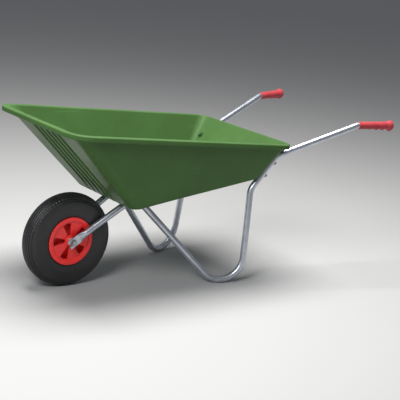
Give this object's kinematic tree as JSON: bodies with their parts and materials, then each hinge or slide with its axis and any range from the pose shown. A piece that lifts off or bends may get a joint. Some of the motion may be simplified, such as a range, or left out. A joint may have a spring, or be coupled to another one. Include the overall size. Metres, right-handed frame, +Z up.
{
  "type": "wheelbarrow",
  "caption": "Garden wheelbarrow with a deep sloping moulded tray, two bent tube sides that form fork, legs and handles, and one pneumatic front wheel that turns.",
  "frame": {"origin": "middle of the footprint on the ground plane, under the centre of the bounding box", "axes": "+X from the wheel to the handles, +Y to the right of the person who pushes, +Z up"},
  "size_m": [1.4362, 0.7224, 0.6345],
  "materials": {
    "green_plastic": "moulded polypropylene, satin",
    "tyre_rubber": "moulded tyre rubber, satin",
    "tube_rubber": "butyl rubber, matt",
    "red_plastic": "moulded plastic, semi-gloss",
    "galvanised_steel": "bright galvanised steel tube",
    "zinc_steel": "zinc plated steel",
    "red_grip": "soft moulded plastic, matt",
    "bush_nylon": "natural nylon",
    "valve_brass": "plain brass",
    "black_plastic": "black moulded plastic"
  },
  "bodies": {
    "frame": {"tray": "green_plastic", "axle_bolt": "zinc_steel", "axle_nut": "zinc_steel", "axle_washers": "zinc_steel", "axle_spacer_left": "zinc_steel", "axle_spacer_right": "zinc_steel", "left_frame_tube": "galvanised_steel", "right_frame_tube": "galvanised_steel", "left_grip": "red_grip", "right_grip": "red_grip", "front_tray_bolts": "zinc_steel", "front_tray_washers": "zinc_steel", "front_tray_nuts": "zinc_steel", "rear_tray_bolts": "zinc_steel", "rear_tray_washers": "zinc_steel", "rear_tray_nuts": "zinc_steel"},
    "wheel": {"tyre": "tyre_rubber", "inner_tube": "tube_rubber", "wheel_half_left": "red_plastic", "wheel_half_right": "red_plastic", "wheel_screws": "zinc_steel", "valve_stem": "valve_brass", "valve_cap": "black_plastic", "hub_bush_left": "bush_nylon", "hub_bush_right": "bush_nylon"}
  },
  "joints": [
    {"name": "wheel_spin", "type": "hinge", "parent": "frame", "child": "wheel", "pos_m": [-0.54307, 0, 0.175], "axis": [0, 1, 0], "continuous": true}
  ]
}
